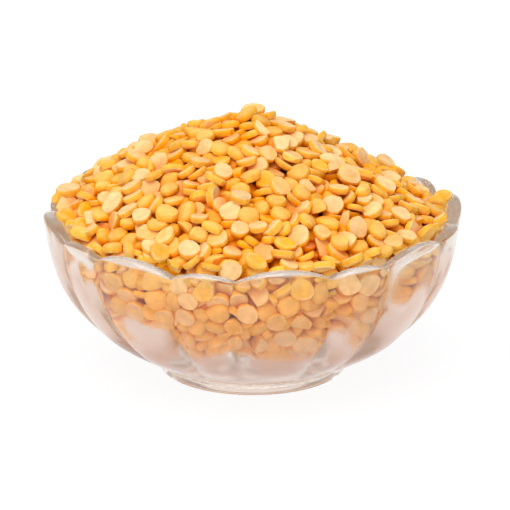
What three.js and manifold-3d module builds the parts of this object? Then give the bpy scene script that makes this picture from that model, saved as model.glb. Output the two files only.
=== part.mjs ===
// A pressed-glass dessert bowl heaped with split chickpeas (chana dal).
// Millimetres, +Z up. The origin is the centre of the foot's underside, and the front is towards -Y.
import * as THREE from "three";
import { mergeVertices } from "three/addons/utils/BufferGeometryUtils.js";
import Module from "manifold-3d";

const wasm = await Module();
wasm.setup();

// ---- Driving dimensions -------------------------------------------------------------------

// Bowl
const NOTCH_RADIUS = 61.8; // outside of the wall at its top, in the notch between two petals
const NECK_RADIUS = 29.6; // where the wall leaves the foot
const FOOT_RADIUS = 28.3;
const FOOT_HEIGHT = 3.6;
const FOOT_RING_WIDTH = 3.6;
const FOOT_RECESS = 1.4; // how far the underside is hollowed inside the foot ring
const NOTCH_HEIGHT = 46.8; // top of the rim at a notch
const WALL_TOP = 53; // height at which the wall curve would stand upright
const RIM_WALL = 3.5; // thickness of the glass at the rim
const FLOOR_HEIGHT = 7.5; // inside floor above the table
const FLOOR_RADIUS = 24;
const FLOOR_EASE = 2; // the floor turns up into the wall over this distance
const RIM_ROUNDING = 1.2;
const OUTSIDE_LEVELS = [4.6, 7, 11, 16.5, 23.5, 33]; // heights of the points on the outside's curve
const INSIDE_LEVELS = [35, 26, 18, 12, 8.8]; // and on the inside's, from the rim down

// Petals: broad and narrow ones alternate round the bowl
const PETAL_PAIRS = 8;
const BROAD = { angle: 27, steps: 6, bulge: 1.8, crest: 3.9 };
const NARROW = { angle: 18, steps: 4, bulge: 1.2, crest: 2.2 };
const FIRST_NOTCH_ANGLE = -5; // where a broad petal begins, from the front towards +X
const INNER_BULGE = 0.75; // share of the petal's bulge that the inside of the rim follows
const PETALS_FADE_BELOW = 30; // the inside is round below this height

// Heap
const HEAP_TOP = 81.6; // crown of the heap
const HEAP_FOOT_HEIGHT = 46.5; // height and radius at which the heap's slope would run out
const HEAP_FOOT_RADIUS = 60.8;
const HEAP_EDGE_RADIUS = 58.6; // where the heap meets the glass
const HEAP_LEAN = 1.5; // the heap's shoulder is higher on the left by about this much
const CORE_INSET = 2.2; // the smooth core lies this far inside the heap's free surface
const GLASS_GAP = 0.5; // free space between heap and glass
const CORE_SEGMENTS = 32;

// Lentils
const LENTIL_COUNT = 192;
const LENTIL_RADIUS = 3.35;
const LENTIL_THICKNESS = 3.1;
const LENTIL_SIDES = 6;
const LARGEST_LENTIL = 1.16; // size of the first lentil placed, as a share of the usual one
const SMALLEST_LENTIL = 0.88;
const LENTIL_DEPTH = 1.75; // a lentil's middle lies this far inside the heap's outline
const USUAL_TILT = 26; // degrees away from lying flat on the heap
const SEED = 20240611;

const GLASS = { color: 0xe9eceb, roughness: 0.04, metalness: 0 };
const DAL = { color: 0xf5ac42, roughness: 0.62, metalness: 0 };

// ---- Helpers ------------------------------------------------------------------------------

const radians = THREE.MathUtils.degToRad;

function seededRandom(seed) {
  let state = seed;
  return () => {
    state = (state + 0x6d2b79f5) | 0;
    let t = Math.imul(state ^ (state >>> 15), 1 | state);
    t = (t + Math.imul(t ^ (t >>> 7), 61 | t)) ^ t;
    return ((t ^ (t >>> 14)) >>> 0) / 4294967296;
  };
}

function toSolid(geometry) {
  const bare = geometry.clone();
  bare.deleteAttribute("normal");
  bare.deleteAttribute("uv");
  const merged = mergeVertices(bare, 1e-4);
  return new wasm.Manifold(
    new wasm.Mesh({
      numProp: 3,
      vertProperties: merged.attributes.position.array,
      triVerts: new Uint32Array(merged.index.array),
    }),
  );
}

function toGeometry(solid) {
  const mesh = solid.getMesh();
  const geometry = new THREE.BufferGeometry();
  geometry.setAttribute(
    "position",
    new THREE.BufferAttribute(mesh.vertProperties, 3),
  );
  geometry.setIndex(new THREE.BufferAttribute(mesh.triVerts, 1));
  geometry.computeVertexNormals();
  return geometry;
}

// Turns a profile of [radius, height] pairs about +Z.
function turned(profile, segments) {
  const points = profile.map(([radius, height]) => new THREE.Vector2(radius, height));
  return new THREE.LatheGeometry(points, segments).rotateX(Math.PI / 2);
}

// ---- Bowl ---------------------------------------------------------------------------------

// Radius of the outside of the wall at a notch, for a height.
function outerRadius(z) {
  const rise = THREE.MathUtils.clamp((z - FOOT_HEIGHT) / (WALL_TOP - FOOT_HEIGHT), 0, 1);
  const spread = (1 - (1 - rise) ** 2.7) ** 0.92;
  return NECK_RADIUS + (NOTCH_RADIUS - NECK_RADIUS) * spread;
}

// Radius of the inside of the wall at a notch, for a height.
function innerRadius(z) {
  const rise = THREE.MathUtils.clamp((z - FLOOR_HEIGHT) / (WALL_TOP - FLOOR_HEIGHT), 0, 1);
  const spread = (1 - (1 - rise) ** 2.6) ** 0.75;
  return FLOOR_RADIUS + (NOTCH_RADIUS - RIM_WALL - FLOOR_RADIUS) * spread;
}

// The petal at an angle round the bowl, and how far the petal arches there: 0 at a notch, 1 in the middle.
function petalAt(angle) {
  const pair = 360 / PETAL_PAIRS;
  const along = THREE.MathUtils.euclideanModulo(angle - FIRST_NOTCH_ANGLE, pair);
  const petal = along < BROAD.angle ? BROAD : NARROW;
  const start = petal === BROAD ? 0 : BROAD.angle;
  const across = ((along - start) / petal.angle) * 2 - 1;
  return { petal, arch: 1 - across * across };
}

// Angles that put a vertex on every notch and spread the others evenly over each petal.
function petalAngles() {
  const angles = [];
  let angle = FIRST_NOTCH_ANGLE;
  for (let pair = 0; pair < PETAL_PAIRS; pair++)
    for (const petal of [BROAD, NARROW])
      for (let step = 0; step < petal.steps; step++) {
        angles.push(angle);
        angle += petal.angle / petal.steps;
      }
  return [...angles, FIRST_NOTCH_ANGLE + 360];
}

// How strongly the petals show at a height: outside they fade into the foot, inside into the round floor.
function outerPetalShare(z) {
  return THREE.MathUtils.smoothstep(z, FOOT_HEIGHT, 20);
}

function innerPetalShare(z) {
  return INNER_BULGE * THREE.MathUtils.smoothstep(z, PETALS_FADE_BELOW - 12, NOTCH_HEIGHT);
}

function crestShare(z) {
  return THREE.MathUtils.smoothstep(z, 22, NOTCH_HEIGHT - RIM_ROUNDING);
}

// The profile at a notch, from the middle of the underside, round the rim, to the middle of the floor.
// Each point: radius, height, share of the petal's bulge, share of the petal's crest.
function bowlProfile() {
  const ringInside = FOOT_RADIUS - FOOT_RING_WIDTH;
  const shoulder = NOTCH_HEIGHT - RIM_ROUNDING;
  const rimOuter = outerRadius(shoulder);
  const rimInner = innerRadius(shoulder);
  const profile = [
    [0, FOOT_RECESS, 0, 0],
    [ringInside - 1, FOOT_RECESS, 0, 0],
    [ringInside, 0, 0, 0],
    [FOOT_RADIUS - 0.5, 0, 0, 0],
    [FOOT_RADIUS, 0.8, 0, 0],
    [FOOT_RADIUS, FOOT_HEIGHT - 0.8, 0, 0],
  ];
  for (const z of OUTSIDE_LEVELS) {
    profile.push([outerRadius(z), z, outerPetalShare(z), crestShare(z)]);
  }
  profile.push(
    [rimOuter, shoulder, 1, 1],
    [rimOuter - RIM_ROUNDING, NOTCH_HEIGHT, 1, 1],
    [rimInner + RIM_ROUNDING, NOTCH_HEIGHT, INNER_BULGE, 1],
    [rimInner, shoulder, INNER_BULGE, 1],
  );
  for (const z of INSIDE_LEVELS) {
    profile.push([innerRadius(z), z, innerPetalShare(z), crestShare(z)]);
  }
  profile.push([FLOOR_RADIUS - FLOOR_EASE, FLOOR_HEIGHT, 0, 0], [0, FLOOR_HEIGHT, 0, 0]);
  return profile;
}

// A plain turned bowl whose points are then moved out and up over each petal.
function bowl() {
  const profile = bowlProfile();
  const angles = petalAngles();
  const geometry = turned(profile, angles.length - 1);
  const position = geometry.getAttribute("position");
  angles.forEach((angle, column) => {
    const { petal, arch } = petalAt(angle + 1e-6);
    profile.forEach(([radius, height, bulgeShare, lift], row) => {
      const r = radius + petal.bulge * arch * bulgeShare;
      const z = height + petal.crest * arch * lift;
      const turn = radians(angle);
      position.setXYZ(column * profile.length + row, r * Math.sin(turn), -r * Math.cos(turn), z);
    });
  });
  return geometry;
}

// ---- Heap ---------------------------------------------------------------------------------

// Height of the heap's outline above a point of the bowl's plan.
function heapHeight(x, y) {
  const out = Math.min(Math.hypot(x, y) / HEAP_FOOT_RADIUS, 1);
  const dome = (1 - out ** 1.1) ** 0.7;
  const lean = (-x / HEAP_FOOT_RADIUS) * (1 - out * out) * 2.6 * HEAP_LEAN;
  return HEAP_FOOT_HEIGHT + (HEAP_TOP - HEAP_FOOT_HEIGHT) * dome + lean;
}

// The heap's free surface as [radius, height] pairs, from the crown out to a radius.
function crownOutline(edge, inset) {
  return [0, 0.12, 0.28, 0.46, 0.64, 0.8, 0.92, 1].map((share) => {
    const radius = share * edge;
    return [radius, heapHeight(0, radius) - inset];
  });
}

// The heap where it lies in the bowl, from the edge of its free surface down to the floor.
function bedOutline(gap) {
  const outline = INSIDE_LEVELS.map((z) => [innerRadius(z) - gap, z + gap]);
  outline.push([FLOOR_RADIUS - FLOOR_EASE, FLOOR_HEIGHT + gap], [0, FLOOR_HEIGHT + gap]);
  return outline;
}

function heapCore() {
  const crown = crownOutline(HEAP_EDGE_RADIUS - GLASS_GAP, CORE_INSET);
  const outline = [...crown, ...bedOutline(GLASS_GAP)].reverse();
  const geometry = turned(outline, CORE_SEGMENTS);
  const position = geometry.getAttribute("position");
  for (let i = 0; i < position.count; i++) {
    const x = position.getX(i);
    const y = position.getY(i);
    const lean = heapHeight(x, y) - heapHeight(0, Math.hypot(x, y));
    if (position.getZ(i) > HEAP_FOOT_HEIGHT) position.setZ(i, position.getZ(i) + lean);
  }
  return toSolid(geometry);
}

// A split chickpea: flat below, domed above, with few sides.
function lentilGeometry() {
  return turned(
    [
      [0, -LENTIL_THICKNESS / 2],
      [LENTIL_RADIUS * 0.97, -LENTIL_THICKNESS / 2],
      [LENTIL_RADIUS * 0.86, LENTIL_THICKNESS * 0.18],
      [0, LENTIL_THICKNESS / 2],
    ],
    LENTIL_SIDES,
  );
}

// Points spread evenly over a surface of revolution: each ring gets its share of the area, and each
// next point turns by the golden angle. Each has its place and the outward normal there.
function spreadOver(outline, count) {
  const bands = [];
  let total = 0;
  for (let i = 1; i < outline.length; i++) {
    const [innerR, upperZ] = outline[i - 1];
    const [outerR, lowerZ] = outline[i];
    const length = Math.hypot(outerR - innerR, lowerZ - upperZ);
    const area = Math.PI * (innerR + outerR) * length;
    const normal = [(upperZ - lowerZ) / length, (outerR - innerR) / length];
    bands.push({ innerR, upperZ, outerR, lowerZ, area, normal, before: total });
    total += area;
  }
  const goldenAngle = Math.PI * (3 - Math.sqrt(5));
  return Array.from({ length: count }, (_, index) => {
    const reached = ((index + 0.5) / count) * total;
    const band = bands.findLast((candidate) => candidate.before <= reached);
    const share = (reached - band.before) / band.area;
    const radius = Math.sqrt(THREE.MathUtils.lerp(band.innerR ** 2, band.outerR ** 2, share));
    const down = (radius - band.innerR) / (band.outerR - band.innerR);
    const height = THREE.MathUtils.lerp(band.upperZ, band.lowerZ, down);
    const side = Math.sin(index * goldenAngle);
    const front = -Math.cos(index * goldenAngle);
    const [outwards, upwards] = band.normal;
    const place = new THREE.Vector3(radius * side, radius * front, height);
    const normal = new THREE.Vector3(outwards * side, outwards * front, upwards);
    return { place, normal };
  });
}

// Whether every corner of a placed lentil keeps its distance from the glass, even beside a notch.
function clearsGlass(lentil) {
  const position = lentil.getAttribute("position");
  return [...Array(position.count).keys()].every((i) => {
    const fromAxis = Math.hypot(position.getX(i), position.getY(i));
    return fromAxis < innerRadius(position.getZ(i)) - GLASS_GAP;
  });
}

function placedLentil({ place, normal }, size, random) {
  const up = new THREE.Vector3(0, 0, 1);
  const lean = radians(USUAL_TILT) * (random() + random());
  const leanAxis = new THREE.Vector3(1, 0, 0).applyAxisAngle(up, random() * Math.PI * 2);
  const flip = random() < 0.5 ? Math.PI : 0;
  const turn = new THREE.Quaternion()
    .setFromUnitVectors(up, normal)
    .multiply(new THREE.Quaternion().setFromAxisAngle(leanAxis, lean + flip))
    .multiply(new THREE.Quaternion().setFromAxisAngle(up, random() * Math.PI));
  const stretch = 1 + 0.14 * (random() - 0.5);
  const scale = new THREE.Vector3(size * stretch, size / stretch, size);
  const middle = place.clone();
  const lift = heapHeight(place.x, place.y) - heapHeight(0, Math.hypot(place.x, place.y));
  if (place.z > HEAP_FOOT_HEIGHT) middle.z += lift;
  for (let depth = LENTIL_DEPTH; depth < LENTIL_DEPTH + 3; depth += 0.15) {
    const centre = middle.clone().addScaledVector(normal, -depth);
    const matrix = new THREE.Matrix4().compose(centre, turn, scale);
    const lentil = lentilGeometry().applyMatrix4(matrix);
    if (clearsGlass(lentil)) return lentil;
  }
  return null;
}

// The core with the lentils that show fused on, the largest first. Only the outer shell is kept, so a
// hollow closed in between two lentils is filled.
function heap() {
  const random = seededRandom(SEED);
  const spots = spreadOver(crownOutline(HEAP_EDGE_RADIUS - LENTIL_RADIUS / 2, 0), LENTIL_COUNT);
  const order = spots.map((spot) => ({ spot, draw: random() })).sort((a, b) => a.draw - b.draw);
  let solid = heapCore();
  order.forEach(({ spot }, index) => {
    const size = THREE.MathUtils.lerp(LARGEST_LENTIL, SMALLEST_LENTIL, index / order.length);
    const lentil = placedLentil(spot, size, random);
    if (lentil) solid = solid.add(toSolid(lentil));
  });
  const [shell] = solid.decompose().sort((a, b) => b.volume() - a.volume());
  return toGeometry(shell);
}

// ---- The part -----------------------------------------------------------------------------

function piece(name, geometry, finish) {
  const mesh = new THREE.Mesh(geometry, new THREE.MeshStandardMaterial(finish));
  mesh.name = name;
  return mesh;
}

const dishOfLentils = new THREE.Group();
dishOfLentils.add(piece("dish", bowl(), GLASS));
dishOfLentils.add(piece("lentils", heap(), DAL));

export default dishOfLentils;
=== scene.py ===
"""A pressed-glass bowl heaped with split chickpeas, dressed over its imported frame. Lengths are in metres."""

import math

import bpy
import numpy as np
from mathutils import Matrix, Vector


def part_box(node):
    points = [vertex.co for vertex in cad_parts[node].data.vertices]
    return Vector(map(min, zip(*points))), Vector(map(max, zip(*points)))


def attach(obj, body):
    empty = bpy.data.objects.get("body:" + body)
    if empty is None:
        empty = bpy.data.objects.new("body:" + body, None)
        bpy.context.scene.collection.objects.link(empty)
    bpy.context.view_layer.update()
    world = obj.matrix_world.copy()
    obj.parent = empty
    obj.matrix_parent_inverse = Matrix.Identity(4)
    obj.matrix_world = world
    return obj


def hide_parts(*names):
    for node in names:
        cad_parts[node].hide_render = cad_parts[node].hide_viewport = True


bl_info = {
    "name": "Dish of Dry Lentils",
    "version": (1, 0, 0),
    "blender": (4, 5, 0),
    "location": "View3D > Sidebar > Lentils",
    "description": "Models a scalloped glass bowl and the heap of split lentils in it",
    "category": "Object",
}

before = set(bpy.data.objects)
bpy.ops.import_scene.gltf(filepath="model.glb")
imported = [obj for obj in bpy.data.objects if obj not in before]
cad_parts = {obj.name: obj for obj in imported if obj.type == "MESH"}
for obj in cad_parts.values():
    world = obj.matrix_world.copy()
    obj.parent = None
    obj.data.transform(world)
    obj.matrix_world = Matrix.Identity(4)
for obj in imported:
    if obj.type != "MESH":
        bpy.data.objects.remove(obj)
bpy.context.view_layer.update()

MM = 0.001
BODY = "root"
HEAP_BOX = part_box("lentils")
TINY = 1e-12  # least length of a vector that something is divided by
SPECK = 1e-9  # least distance in metres that something is divided by

# ---- Settings -----------------------------------------------------------------------------


def length(name, description, default):
    """A size that a user can change, in metres."""
    return bpy.props.FloatProperty(
        name=name, description=description, default=default, unit="LENGTH", precision=4
    )


def amount(name, description, default, least=0):
    """A number that a user can change, in the unit that its description gives."""
    return bpy.props.FloatProperty(name=name, description=description, default=default, min=least)


def colour(name, description, default):
    """A colour that a user can change, as scene-linear red, green and blue."""
    return bpy.props.FloatVectorProperty(
        name=name, description=description, default=default, subtype="COLOR", min=0, max=1
    )


class BowlSettings(bpy.types.PropertyGroup):
    """The glass bowl."""

    neck_radius: length("Neck radius", "Where the wall leaves the foot", 29.8 * MM)
    notch_radius: length("Notch radius", "Outside of the wall at its top, between two petals", 61.2 * MM)
    notch_height: length("Notch height", "Top of the rim between two petals", 46.8 * MM)
    wall_top: length("Wall top", "Height at which the outside would stand upright", 53 * MM)
    inner_top: length("Inner top", "Height at which the inside would stand upright", 55.3 * MM)
    rim_wall: length("Rim thickness", "Thickness of the glass at the rim", 3.16 * MM)
    floor_height: length("Floor height", "Inside floor above the table", 8.15 * MM)
    floor_radius: length("Floor radius", "Radius of the flat inside floor", 24.2 * MM)
    foot_radius: length("Foot radius", "Outside of the foot ring", 28.3 * MM)
    foot_height: length("Foot height", "Height of the foot ring", 3.6 * MM)
    broad_bulge: length("Broad petal bulge", "How far a broad petal arches outwards", 2.71 * MM)
    narrow_bulge: length("Narrow petal bulge", "How far a narrow petal arches outwards", 2.11 * MM)
    broad_crest: length("Broad petal crest", "How far a broad petal rises over the notches", 3.9 * MM)
    narrow_crest: length("Narrow petal crest", "How far a narrow petal rises over the notches", 2.2 * MM)
    # Partly painted shade: the foot, base and outer wall tints darken towards the bottom, standing in for the
    # shade under and around the dish, besides the glass's own warm tint
    foot_tint_and_shade: colour("Foot tint", "Colour that the foot ring gives the light", (0.81, 0.69, 0.62))
    base_tint_and_shade: colour("Base tint", "Colour that the thick base gives the light", (0.55, 0.295, 0.20))
    wall_tint_and_shade: colour("Wall tint", "Colour that the wall gives the light outside", (0.79, 0.604, 0.514))
    inner_tint: colour("Inner tint", "Colour that the wall gives the light inside", (1.0, 0.968, 0.926))
    rim_tint: colour("Rim tint", "Colour that the rim gives the light", (0.93, 0.94, 0.89))
    tint: colour("Tint", "Colour of light that has passed through thick glass", (0.50, 0.42, 0.36))
    tint_density: amount("Tint density", "How quickly glass takes on its tint, per metre", 2)


class LentilSettings(bpy.types.PropertyGroup):
    """The lentils and the heap that they form."""

    count: bpy.props.IntProperty(
        name="Lentils", description="Loose lentils over the core", default=2300, min=1
    )
    radius: length("Radius", "Usual radius of a lentil", 3.2 * MM)
    thickness: length("Thickness", "From the flat face to the top of the back", 2.5 * MM)
    heap_top: length("Heap top", "Height of the heap's crown", 81.6 * MM)
    layer: length("Layer", "Depth of the loose lentils over the core", 8 * MM)
    flat_colour: colour("Flat face", "Colour of the split face", (0.95, 0.61, 0.28))
    side_colour: colour("Side", "Colour round the edge of a lentil", (0.945, 0.486, 0.055))
    # Painted shade: the colour that deep-lying lentils are mixed towards, standing in for the shade in the
    # gaps between them
    painted_shade_colour: colour("Shade", "Colour between the lentils", (0.80, 0.215, 0.003))
    # Painted shade: colour of the dark core, which stands for the shade deep in the heap
    core_painted_shade: colour("Core", "Colour under the lentils", (0.20, 0.03, 0.003))
    seed: bpy.props.IntProperty(name="Seed", description="Start of the random draws", default=5)


class StageSettings(bpy.types.PropertyGroup):
    """The floor, the lights and the camera."""

    camera_distance: length("Camera distance", "From the camera to the dish", 1.5)
    camera_elevation: bpy.props.FloatProperty(
        name="Camera elevation", description="Angle above level", default=math.radians(18.8), subtype="ANGLE"
    )
    lens: amount("Lens", "Focal length in millimetres", 349.4, least=1)
    light_power: amount("Softbox", "Power of the softbox in watts", 15)
    fill_power: amount("Window", "Power of the front light in watts", 5)
    sky_strength: amount("Surround", "Strength of the light from all round", 0.5)


def dish():
    """The settings of the whole dish."""
    return bpy.context.scene.lentil_dish


# ---- The bowl's shape ---------------------------------------------------------------------

PETAL_PAIRS = 8
BROAD_ANGLE = math.radians(27)
NARROW_ANGLE = math.radians(18)
FIRST_NOTCH = math.radians(-5)  # where a broad petal begins, from the front (-Y) towards +X
GIRTH = 60 * MM  # radius at which the widths of petals are counted
RIM_ROUNDING = 1.2 * MM
LIFT_FROM = 22 * MM  # height from which the wall is drawn up towards the petals' crests
INNER_LIFT = 0.905  # share of that rise which the inside follows
# Powers of the wall's curve, outside and inside
OUTER_CURVE = (2.547, 0.953)
INNER_CURVE = (2.884, 0.806)
# Width, power and rounding at the notch of the petals' arches, outside and inside
OUTER_ARCH = (14.0 * MM, 2.6, 0.7 * MM)
INNER_ARCH = (13.07 * MM, 1.705, 3.5 * MM)
# The bulge of a petal outside: heights between which it comes, the share of it that fades again towards the
# rim, and the height from which that is
OUTER_SPREAD = (3.25 * MM, 15.4 * MM)
OUTER_EASE = 0.06
OUTER_EASE_FROM = 28 * MM
# The bulge inside a broad and a narrow petal: its share at its fullest, and the heights at which it begins,
# is fullest and is gone
INNER_BULGE = (0.386, 0.621)
INNER_FOOT = 24.3 * MM
INNER_FULLEST = (31.8 * MM, 37.3 * MM)
INNER_GONE = (43.4 * MM, 43.9 * MM)
# The bulge inside the rim: its share, and the heights between which it comes
RIM_BULGE = 0.55
RIM_SPREAD = (43.9 * MM, 46.8 * MM)
RIM_LEAN = 3 * MM  # how far the heap leans out over the rim


def smoothstep(x, low, high):
    """Rises smoothly from 0 at the low end to 1 at the high one."""
    t = np.clip((x - low) / (high - low), 0, 1)
    return t * t * (3 - 2 * t)


def swell(z, foot, top, curve):
    """How far the wall has spread at a height, from 0 at its foot to 1 where it would stand upright."""
    rise = np.clip((z - foot) / (top - foot), 0, 1)
    return (1 - (1 - rise) ** curve[0]) ** curve[1]


def outer_radius(z):
    """Outside of the wall at a notch."""
    bowl = dish().bowl
    spread = swell(z, bowl.foot_height, bowl.wall_top, OUTER_CURVE)
    return bowl.neck_radius + (bowl.notch_radius - bowl.neck_radius) * spread


def inner_radius(z):
    """Inside of the wall at a notch."""
    bowl = dish().bowl
    spread = swell(z, bowl.floor_height, bowl.inner_top, INNER_CURVE)
    return bowl.floor_radius + (bowl.notch_radius - bowl.rim_wall - bowl.floor_radius) * spread


def petals(x, y):
    """Where places lie across their petals, from 0 in the middle to 1 at a notch, and each petal's form.

    The form is whether it is broad, half its width, its bulge and its crest.
    """
    bowl = dish().bowl
    along = np.mod(np.arctan2(x, -y) - FIRST_NOTCH, 2 * math.pi / PETAL_PAIRS)
    broad = along < BROAD_ANGLE
    across = np.abs(np.where(broad, along / BROAD_ANGLE, (along - BROAD_ANGLE) / NARROW_ANGLE) * 2 - 1)
    half = np.where(broad, BROAD_ANGLE, NARROW_ANGLE) / 2 * GIRTH
    bulge = np.where(broad, bowl.broad_bulge, bowl.narrow_bulge)
    crest = np.where(broad, bowl.broad_crest, bowl.narrow_crest)
    return across, broad, half, bulge, crest


def arch(across, half, width, power, rounding):
    """How far a petal stands out: 0 at a notch, and 1 from a width away from it."""
    from_notch = (1 - across) * half
    from_notch = np.sqrt(from_notch**2 + rounding**2) - rounding
    return 1 - (1 - np.clip(from_notch / np.minimum(width, half), 0, 1)) ** power


def lift(x, y, z):
    """How far the mould has drawn a place on the wall up towards its petal's crest."""
    bowl = dish().bowl
    across, _, _, _, crest = petals(x, y)
    return crest * (1 - across**2) * smoothstep(z, LIFT_FROM, bowl.notch_height - RIM_ROUNDING)


def outside_radius(x, y, z):
    """Outside of the glass, petals and all."""
    bowl = dish().bowl
    across, _, half, bulge, _ = petals(x, y)
    unlifted = z - lift(x, y, z)
    eased = 1 - OUTER_EASE * smoothstep(unlifted, OUTER_EASE_FROM, bowl.notch_height)
    share = smoothstep(unlifted, *OUTER_SPREAD) * eased
    return outer_radius(unlifted) + bulge * share * arch(across, half, *OUTER_ARCH)


def inside_radius(x, y, z):
    """Inside of the glass, petals and all."""
    across, broad, half, bulge, _ = petals(x, y)
    unlifted = z - lift(x, y, z) * INNER_LIFT
    fullest = np.where(broad, *INNER_FULLEST)
    gone = np.where(broad, *INNER_GONE)
    share = smoothstep(unlifted, INNER_FOOT, fullest) * (1 - smoothstep(unlifted, fullest, gone))
    share = share * np.where(broad, *INNER_BULGE) + RIM_BULGE * smoothstep(unlifted, *RIM_SPREAD)
    return inner_radius(unlifted) + bulge * share * arch(across, half, *INNER_ARCH)


def glass_radius(x, y, z):
    """What holds the lentils in: the glass's inside and, over the rim, a slope on which the heap leans."""
    bowl = dish().bowl
    across, _, _, _, crest = petals(x, y)
    over_rim = np.clip(z - bowl.notch_height - crest * (1 - across**2), 0, RIM_LEAN)
    return inside_radius(x, y, z) + over_rim


# Rings of the mesh up the wall and over each half of the rim, and how they crowd towards the base
OUTER_RINGS = 30
OUTER_CROWDING = 1.35
INNER_RINGS = 38
INNER_CROWDING = 1.3
RIM_RINGS = 5
FLAT_RINGS = (6 * MM, 16 * MM)  # radii of the rings on the underside and on the floor
WALL_FROM = 4.0 * MM  # height of the wall's lowest ring outside
INNER_WALL_FROM = 0.4 * MM  # height of its lowest ring inside, over the floor
FOOT_RING = 3.6 * MM  # width of the foot ring
RECESS = 1.4 * MM  # height of the underside within the ring
# Points round the foot, out from the ring's inner and outer edge and up, in millimetres
RING_INSIDE = [(-1.2, 1.4), (-0.5, 1.15), (-0.15, 0.5), (0.1, 0.1), (0.5, 0)]
RING_OUTSIDE = [(-0.9, 0), (-0.35, 0.12), (-0.08, 0.5), (0, 1.1), (0, 2.0), (0.05, 2.7), (0.45, 3.3)]
# Points where the wall turns into the floor, out from the floor's edge and up, in millimetres
FLOOR_EDGE = [(-0.6, 0.1), (-2, 0)]


def profile_from(radius, height, points):
    """Points of a profile, given in millimetres out and up from a radius and a height."""
    return [(radius + out * MM, height + up * MM) for out, up in points]


def bowl_profile():
    """Radius and height at a notch, from the underside round the rim to the floor."""
    bowl = dish().bowl
    profile = [(radius, RECESS) for radius in FLAT_RINGS]
    profile += profile_from(bowl.foot_radius - FOOT_RING, 0, RING_INSIDE)
    profile += profile_from(bowl.foot_radius, 0, RING_OUTSIDE)
    shoulder = bowl.notch_height - RIM_ROUNDING
    for step in range(OUTER_RINGS):
        rise = (step / (OUTER_RINGS - 1)) ** OUTER_CROWDING
        z = WALL_FROM + (shoulder - WALL_FROM) * rise
        profile.append((float(outer_radius(z)), z))
    upwards = [math.radians(90) * step / RIM_RINGS for step in range(1, RIM_RINGS + 1)]
    downwards = [math.radians(90) * (1 - step / RIM_RINGS) for step in range(RIM_RINGS + 1)]
    outer_half = (float(outer_radius(shoulder)), -RIM_ROUNDING, upwards)
    inner_half = (float(inner_radius(shoulder)), RIM_ROUNDING, downwards)
    for edge, towards_middle, angles in (outer_half, inner_half):
        for angle in angles:
            out, up = towards_middle * (1 - math.cos(angle)), RIM_ROUNDING * math.sin(angle)
            profile.append((edge + out, shoulder + up))
    lowest = bowl.floor_height + INNER_WALL_FROM
    for step in range(1, INNER_RINGS + 1):
        z = lowest + (shoulder - lowest) * (1 - step / INNER_RINGS) ** INNER_CROWDING
        profile.append((float(inner_radius(z)), z))
    profile += profile_from(bowl.floor_radius, bowl.floor_height, FLOOR_EDGE)
    profile += [(radius, bowl.floor_height) for radius in reversed(FLAT_RINGS)]
    return profile


# ---- Modelling helpers --------------------------------------------------------------------


def edit_new(name):
    """The primitive just added, named and opened in edit mode with all of it selected."""
    piece = bpy.context.object
    piece.name = piece.data.name = name
    bpy.ops.object.mode_set(mode="EDIT")
    bpy.ops.mesh.select_all(action="SELECT")
    return piece


def deselect():
    """Leaves edit mode and deselects everything."""
    if bpy.context.object and bpy.context.object.mode != "OBJECT":
        bpy.ops.object.mode_set(mode="OBJECT")
    bpy.ops.object.select_all(action="DESELECT")


def coordinates(mesh):
    """A mesh's points as an array."""
    flat = np.empty(len(mesh.vertices) * 3, np.float32)
    mesh.vertices.foreach_get("co", flat)
    return flat.reshape(-1, 3).astype(float)


def set_coordinates(mesh, points):
    """Moves a mesh's points to those of an array."""
    mesh.vertices.foreach_set("co", np.asarray(points, np.float32).ravel())
    mesh.update()


def add_object(name, data):
    """A new object in the scene, with its mesh, light or camera."""
    added = bpy.data.objects.new(name, data)
    bpy.context.scene.collection.objects.link(added)
    return added


def extrude_rings(rings, start):
    """Extrudes the selected ring to each next (radius, height), as far as it moves and narrows."""
    radius, height = start
    for next_radius, next_height in rings:
        bpy.ops.mesh.extrude_region_move(TRANSFORM_OT_translate={"value": (0, 0, next_height - height)})
        scale = next_radius / radius
        bpy.ops.transform.resize(value=(scale, scale, 1), center_override=(0, 0, 0))
        radius, height = next_radius, next_height


def close_ends():
    """Fills the open ring that is selected, and then the one that is left, each with a fan of faces."""
    bpy.ops.mesh.edge_face_add()
    bpy.ops.mesh.poke()
    bpy.ops.mesh.select_all(action="DESELECT")
    bpy.ops.mesh.select_non_manifold()
    bpy.ops.mesh.edge_face_add()
    bpy.ops.mesh.poke()


def turn_outwards():
    """Turns all faces of the piece in edit mode outwards, and leaves edit mode."""
    bpy.ops.mesh.select_all(action="SELECT")
    bpy.ops.mesh.normals_make_consistent(inside=False)
    bpy.ops.object.mode_set(mode="OBJECT")


def settle_piece(piece, node):
    """Declares a finished piece: attaches it to its body and hides the CAD node it stands for."""
    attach(piece, BODY)
    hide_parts(node)


# ---- Materials ----------------------------------------------------------------------------

TINT_TOP = 50 * MM  # height up to which the glass's tints are laid out
# Heights at which the outside and the inside of the glass take which tint; the outside's tints darken towards
# the base, partly the glass's warm tint and partly painted shade
OUTER_TINTS = [
    (3.4 * MM, "foot_tint_and_shade"),
    (5.5 * MM, "base_tint_and_shade"),
    (13 * MM, "base_tint_and_shade"),
    (20 * MM, "wall_tint_and_shade"),
    (39 * MM, "wall_tint_and_shade"),
    (48 * MM, "rim_tint"),
]
INNER_TINTS = [(39 * MM, "inner_tint"), (48 * MM, "rim_tint")]
# Range of the mottling's noise, and how dark and light it makes a lentil
MOTTLE_NOISE = (0.3, 0.7)
MOTTLE_TONES = (0.84, 1.09)
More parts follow.
